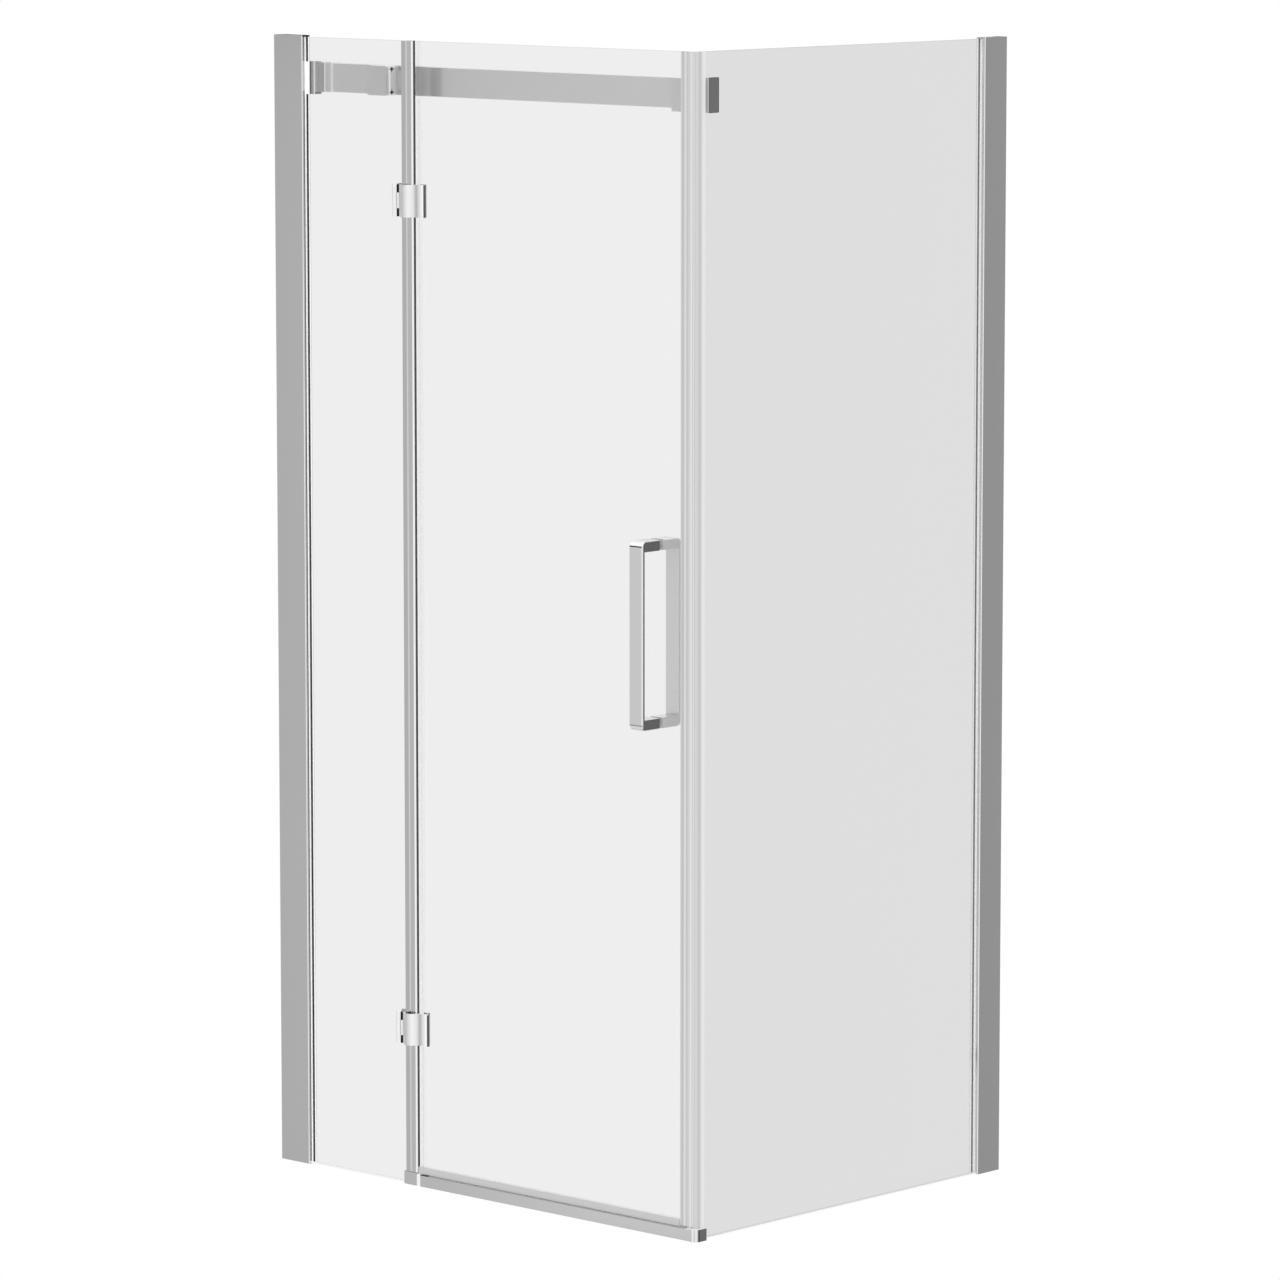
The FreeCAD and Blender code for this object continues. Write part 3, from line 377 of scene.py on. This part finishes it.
def mouldedFinish(name, look):
    # moulded plastic or rubber with a fine even grain, and an even painted glow wherever glow is above
    # nought
    material, graph = newFinish(name)
    grain = stretchedNoise(graph, look["scale"], (1.0, 1.0, 1.0))
    darker = greyColor(look["base"] * (1.0 - look["toneSpread"]))
    lighter = greyColor(look["base"] * (1.0 + look["toneSpread"]))
    shade = graph.node("Mix", {"data_type": "RGBA"}, {"Factor": grain, "A": darker, "B": lighter},
                       output=2)
    rough = look["rough"] + swing(grain, look["roughSpread"])
    closeFinish(graph, {"Base Color": shade, "Roughness": rough,
                        "Normal": bumpOf(graph, grain, look["bump"]),
                        "Specular IOR Level": look["gloss"],
                        "Emission Color": greyColor(look["glow"])})
    return material


def turnedFinish():
    # stainless screws and pins
    look = dict(base=0.62, rough=0.3, ringScale=1200.0, ringSpread=0.15)
    material, graph = newFinish("turnedSteel")
    rings = stretchedNoise(graph, look["ringScale"], (1.0, 1.0, 1.0))
    rough = look["rough"] + swing(rings, look["ringSpread"])
    closeFinish(graph, {"Base Color": greyColor(look["base"]), "Metallic": 1.0, "Roughness": rough})
    return material


glass = dict(base=0.06, haze=0.003, hazeScale=3.0)
frontGlass = dict(glass, alpha=0.083, edgeAlpha=0.10, faceAxis="Y")
# the side pane is made more opaque than the front pane: painted shade that makes it read darker
sideGlass = dict(glass, alpha=0.158, edgeAlpha=0.12, faceAxis="X")
# endBase is the painted shade of the end faces
satin = dict(base=0.95, along=None, step=False, endBase=0.58, toneSpread=0.03, rough=0.20,
             roughSpread=0.06, metallic=0.5, scale=700.0, bump=0.01, stretch=(0.01, 1.0, 1.0))
moulded = dict(toneSpread=0.2, rough=0.35, roughSpread=0.1, scale=1500.0, bump=0.05, gloss=0.5,
               glow=0.0)
finishes = {
    "bright_profile": profileFinish(),
    "chrome": chromeFinish(),
    "satin_metal": satinFinish("satinMetal", satin),
    "front_glass": glassFinish("frontGlass", frontGlass),
    "side_glass": glassFinish("sideGlass", sideGlass),
    "crystal_seal": mouldedFinish("palePad", dict(moulded, base=0.72)),
    "black_plastic": mouldedFinish("blackPlastic", dict(moulded, base=0.008, rough=0.55, gloss=0.1)),
    "magnet": mouldedFinish("magnetStrip", dict(moulded, base=0.30, rough=0.7, bump=0.15)),
    "stainless": turnedFinish(),
}

# greys by the place where each begins, in millimetres from the design's corner
# the post's left band is painted a little darker than its right: painted shade
paintedPostShade = [(300.0, 0.84), (325.0, 0.90), (350.0, 0.90)]
# the seals' bands: partly their own tone and partly painted light
doorBands = [(959.0, 0.60), (962.3, 0.50), (968.0, 0.67), (972.5, 0.53), (977.0, 0.60), (981.5, 0.71),
             (986.0, 0.565), (988.3, 0.71), (990.5, 0.52), (994.5, 0.52)]
cornerBands = [(-2.0, 0.70), (-0.4, 0.54), (6.5, 0.46), (10.9, 0.53), (13.4, 0.59), (16.2, 0.67),
               (20.4, 0.66), (24.0, 0.66)]
# painted shade along the gaps over the block and the sill, darkest at the sill's left end and none near
# its right end
paintedShadeOverBlock = [(300.0, 0.45), (360.0, 0.45)]
paintedShadeOverSill = [(347.0, 0.02), (367.0, 0.40), (973.0, 0.90), (1002.0, 0.90)]
# the wall bracket's fronts, greys that paint light and shade, with painted highlights on the bevels:
# base, its bevel, body, hollow before the collar, collar, its bevel
paintedBracketLight = [(0.0, 0.36), (76.5, 0.95), (78.5, 0.42), (89.0, 1.0), (92.0, 0.95), (105.3, 1.0),
                (108.0, 1.0)]
# painted light and shade across the clamp's end face
paintedClampEndLight = [(8.0, 0.78), (18.8, 0.95), (40.0, 0.95)]
# greys that run smoothly from place to place, painted light and shade: the bar, with painted shade
# behind the post and growing lighter to the right, and the hinge's front with a painted sheen over
# its cover's crest, valley and wing and a darker strip at the fixed leaf's left edge
paintedBarLight = [(0.0, 0.93), (261.0, 0.93), (262.0, 0.66), (318.0, 0.70), (345.0, 0.94), (600.0, 0.97),
            (1000.0, 1.0)]
paintedHingeSheen = [(290.0, 0.72), (292.6, 0.72), (293.4, 0.93), (310.0, 0.93), (315.5, 0.70), (329.0, 0.52),
              (332.0, 0.62), (334.0, 0.70), (337.0, 0.83), (340.0, 0.95), (341.5, 0.91), (344.0, 0.82),
              (345.5, 0.75), (347.0, 0.64), (348.5, 0.50), (350.3, 0.44), (352.7, 0.55), (355.1, 0.67),
              (358.0, 0.76), (362.3, 0.88), (364.7, 1.0), (367.0, 1.0)]

banded = dict(body=0.5, rough=0.35, alpha=0.97, lineScale=500.0, lineSpread=0.06)
softSeal = dict(base=0.60, lineScale=700.0, lineSpread=0.08, bumpDepth=0.5 * mm, pane=8 * mm,
                touching=0.2 * mm, paneAlpha=frontGlass["alpha"])
gasket = dict(body=0.75, glow=0.45, rough=0.6, grainScale=900.0, grainSpread=0.1, backedAt=0.0,
              backedHalf=0.0)
innerWing = dict(base=0.90, rough=0.08, roughSpread=0.04, grainScale=900.0, wingMatt=0.8)
# the bottom strips carry an even painted glow
strip = dict(moulded, base=0.35, glow=0.58)
paintedShadeTop = dict(base=0.90, rough=0.04, gapRough=0.5)
special = {
    "door_magnetic_seal": bandedFinish("doorSealBands", dict(
        banded, axis="X", bands=doorBands, glow=0.56)),
    "corner_magnetic_seal": bandedFinish("cornerSealBands", dict(
        banded, axis="Y", bands=cornerBands, glow=0.68)),
    "door_bottom_seal": sealFinish("bottomSeal", dict(
        softSeal, rough=0.35, alpha=0.05, nose=1.0, noseTo=0.5 * mm, bump=0.03)),
    "door_hinge_seals": sealFinish("hingeSeal", dict(
        softSeal, rough=0.15, alpha=0.01, nose=0.01, noseTo=0.0, bump=0.02)),
    "fixed_bottom_strip": mouldedFinish("frontStrip", strip),
    "side_bottom_strip": mouldedFinish("sideStrip", strip),
    "front_glass_gasket": gasketFinish("frontGasket", dict(
        gasket, axis="X", lipFrom=-0.4352, lipTo=-0.42, lip=0.03, backedAt=1.9259, backedHalf=0.0284)),
    "side_glass_gasket": gasketFinish("sideGasket", dict(
        gasket, axis="Y", lipFrom=0.35, lipTo=0.3630, lip=0.30)),
    "front_glass_channel": innerWingFinish("frontGlassChannel", dict(
        innerWing, axis="Y", limit=-0.3670, beyond=True, glow=0.55)),
    "side_glass_channel": innerWingFinish("sideGlassChannel", dict(
        innerWing, axis="X", limit=0.4850, beyond=False, glow=0.35)),
    "side_channel_cap": mouldedFinish("greyCap", dict(moulded, base=0.45)),
    "stabiliser_bar": satinFinish("satinBar", dict(satin, along=paintedBarLight)),
    "bar_wall_bracket": satinFinish("satinBracket", dict(
        satin, along=paintedBracketLight, step=True, endBase=0.50)),
    "bar_glass_clamp": clampFinish(dict(
        base=0.93, toneSpread=0.03, rough=0.3, metallic=0.1, scale=700.0, endAlong=paintedClampEndLight,
        highlightFrom=14.8 * mm, highlightTo=18.8 * mm, highlightGlow=0.4, starBase=0.05, starDepth=22.0 * mm,
        starHalfDepth=9.0 * mm, lowerStar=1906.5 * mm, upperStar=1946.5 * mm,
        starHalfHeight=8.0 * mm)),
    "bar_clamp_pad": mouldedFinish("clampPad", dict(moulded, base=0.62)),
    "bar_corner_plate": rimmedFinish(dict(
        base=0.90, paintedRimShade=0.62, rough=0.05, rim=1.6 * mm, middleY=-0.3358, halfY=12.6 * mm,
        middleZ=1.92535, halfZ=29.25 * mm)),
    "hinge_post": postFinish(dict(along=paintedPostShade, rough=0.04, paintedGapShade=0.07, gapRough=0.5)),
    "sill_left_block": paintedShadeTopFinish("sillBlock", dict(
        paintedShadeTop, paintedShadeAlong=paintedShadeOverBlock, gapFrom=22.2 * mm)),
    "sill_profile": paintedShadeTopFinish("sillProfile", dict(
        paintedShadeTop, paintedShadeAlong=paintedShadeOverSill, gapFrom=19.6 * mm)),
    # a lighter, less metallic copy of the satin without darker ends: painted light on the handle behind
    # the pane
    "handle_inner": satinFinish("innerHandle", dict(
        satin, base=1.0, endBase=1.0, rough=0.06, metallic=0.35, stretch=(1.0, 1.0, 0.01))),
}
brushedHinge = hingeFinish(dict(
    grainScale=700.0, toneSpread=0.03, bump=0.02, endFacing=0.93, endBase=0.90, topBase=0.90,
    broadBase=0.93, broadRough=0.42, endRough=0.08, sheen=paintedHingeSheen, outsideTo=-2.0 * mm,
    pinX=-0.1917, knuckle=4.9 * mm))
for name in frame["nodes"]:
    if "_hinge_" in name and name.endswith(("_leaf", "_plate")):
        special[name] = brushedHinge
for name, node in frame["nodes"].items():
    node.data.materials.clear()
    node.data.materials.append(special.get(name) or finishes[slotOfNode[name]])
print("finishes on", len(frame["nodes"]), "nodes")


def buildStage():
    # a plain pale floor
    look = dict(size=40.0, drop=0.5 * mm, white=1.0)
    bpy.ops.mesh.primitive_plane_add(size=look["size"], location=(0, 0, -look["drop"]))
    floor = bpy.context.object
    floor.name = "floor"
    floor.visible_glossy = False
    floor.visible_shadow = False
    material, graph = newFinish("paleFloor")
    glow = graph.node("Emission", inputs={"Color": greyColor(look["white"]), "Strength": 1.0})
    graph.node("OutputMaterial", inputs={"Surface": glow})
    floor.data.materials.append(material)


def buildWorld():
    # soft surroundings, dark behind the side pane and bright in front
    # greys round the horizon, from -X through -Y, +X and +Y back to -X
    horizon = [(0.0, 0.42), (0.11, 0.42), (0.1222, 0.436), (0.1317, 0.644), (0.15, 1.0),
               (0.235, 1.0), (0.2975, 0.62), (0.35, 0.98), (0.43, 0.98), (0.492, 0.58), (0.54, 0.035),
               (0.60, 0.10), (0.6308, 0.13), (0.6326, 0.165), (0.6392, 0.34), (0.72, 0.60),
               (0.86, 0.70), (1.0, 0.42)]
    # the same from straight down to straight up: what stands in for the horizon, and how much
    heights = [(0.0, 0.10), (0.06, 0.12), (0.10, 0.70), (0.28, 0.75), (0.30, 0.20), (0.378, 0.20),
               (0.385, 0.0), (0.49, 0.0), (0.50, 0.86), (0.60, 0.92), (0.615, 1.1), (1.0, 1.1)]
    shares = [(0.0, 1.0), (0.28, 1.0), (0.385, 0.5), (0.39, 0.0), (0.486, 0.0), (0.493, 1.0),
              (1.0, 1.0)]
    # a dark strip just over the horizon in front, which draws the black lines along bent edges
    darkStrip = dict(turn=0.125, halfTurn=0.1, height=0.5475, halfHeight=0.05625, grey=0.04)
    world = bpy.data.worlds.new("studio")
    world.use_nodes = True
    bpy.context.scene.world = world
    graph = Graph(world.node_tree)
    coords = graph.node("TexCoord")
    x = graph.node("SeparateXYZ", inputs={0: coords})
    y, z = x.also("Y"), x.also("Z")
    turn = graph.math("ARCTAN2", y, x) / (2 * math.pi) + 0.5
    height = z * 0.5 + 0.5
    around = graph.node("ValToRGB", {"stops": horizon}, {"Fac": turn})
    above = graph.node("ValToRGB", {"stops": heights}, {"Fac": height})
    share = graph.node("ValToRGB", {"stops": shares}, {"Fac": height})
    inFront = (turn - darkStrip["turn"]).size().below(darkStrip["halfTurn"])
    lowBand = (height - darkStrip["height"]).size().below(darkStrip["halfHeight"])
    color = {"data_type": "RGBA"}
    mixed = graph.node("Mix", color, {"Factor": share, "A": around, "B": above}, output=2)
    shaded = graph.node("Mix", color, {"Factor": inFront * lowBand, "A": mixed,
                                       "B": greyColor(darkStrip["grey"])}, output=2)
    seen = graph.node("LightPath")      # the camera itself sees plain white
    backdrop = graph.node("Mix", color, {"Factor": seen, "A": shaded, "B": greyColor(1.0)}, output=2)
    sky = graph.node("Background", inputs={"Color": backdrop, "Strength": 1.0})
    graph.node("OutputWorld", inputs={"Surface": sky})


def buildCamera():
    look = dict(lens=184.64, place=(7.7976, -8.3677, 2.4515), turn=42.912, tilt=7.520)
    data = bpy.data.cameras.new("camera")
    data.lens = look["lens"]
    data.sensor_width = 36.0
    data.clip_end = 100.0
    camera = bpy.data.objects.new("camera", data)
    bpy.context.scene.collection.objects.link(camera)
    camera.location = look["place"]
    turn, tilt = math.radians(look["turn"]), math.radians(look["tilt"])
    ahead = Vector((-math.sin(turn) * math.cos(tilt), math.cos(turn) * math.cos(tilt), -math.sin(tilt)))
    camera.rotation_mode = "QUATERNION"
    camera.rotation_quaternion = ahead.to_track_quat("-Z", "Y")
    bpy.context.scene.camera = camera


buildStage()
buildWorld()
buildCamera()
bpy.context.scene.view_settings.view_transform = "Standard"
print("stage, world and camera ready")
